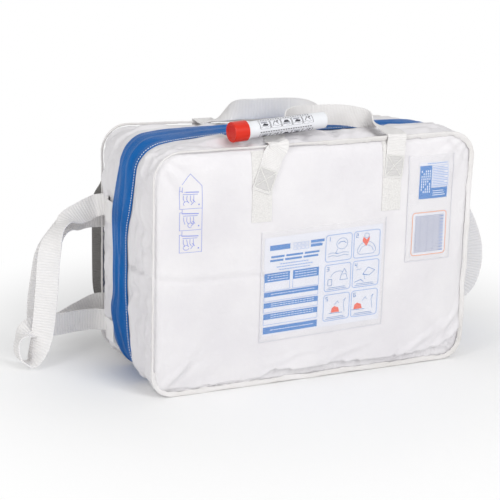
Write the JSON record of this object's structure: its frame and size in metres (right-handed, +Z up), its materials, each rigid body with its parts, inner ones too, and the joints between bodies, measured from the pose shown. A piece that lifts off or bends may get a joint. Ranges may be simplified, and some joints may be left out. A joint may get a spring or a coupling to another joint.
{
  "type": "liferaft valise",
  "caption": "Packed liferaft in a soft rounded carrying valise with piped seams, closure band, webbing handles, end loops, card pockets and a capped document tube.",
  "frame": {"origin": "centre of the underside, on the surface the valise stands on", "axes": "+Z up, +X along the length to the right seen from the front, -Y towards the front panel with the cards"},
  "size_m": [1.1397, 0.3923, 0.5737],
  "materials": {
    "coated_cloth": "matte",
    "blue_band": "gloss",
    "piping": "matte",
    "hook_patch": "matte",
    "clear_film": "gloss",
    "printed_card": "satin",
    "service_card": "satin",
    "inspection_card": "satin",
    "webbing": "matte",
    "grey_webbing": "matte",
    "tube_plastic": "satin",
    "cap_plastic": "satin",
    "tube_wrap": "satin",
    "card_stock": "matte"
  },
  "bodies": {
    "valise": {"valise_body": "coated_cloth", "closure_band": "blue_band", "front_piping": "piping", "rear_piping": "piping", "front_patch_left": "hook_patch", "front_patch_right": "hook_patch", "rear_patch_left": "hook_patch", "rear_patch_right": "hook_patch", "label_pocket": "clear_film", "instruction_card": "printed_card", "papers_pocket": "clear_film", "service_card": "service_card", "inspection_card": "inspection_card", "front_handle": "webbing", "rear_handle": "webbing", "left_loop_front": "webbing", "left_loop_rear": "webbing", "right_loop": "webbing", "rear_strap_left": "grey_webbing", "rear_strap_right": "grey_webbing", "document_tube": "tube_plastic", "tube_label": "tube_wrap", "rolled_card": "card_stock"},
    "cap": {"tube_cap": "cap_plastic"}
  },
  "joints": [
    {"name": "cap_pull", "type": "slide", "parent": "valise", "child": "cap", "axis": [-0.9902, -0.135, -0.036], "range_m": [0, 0.06]}
  ]
}
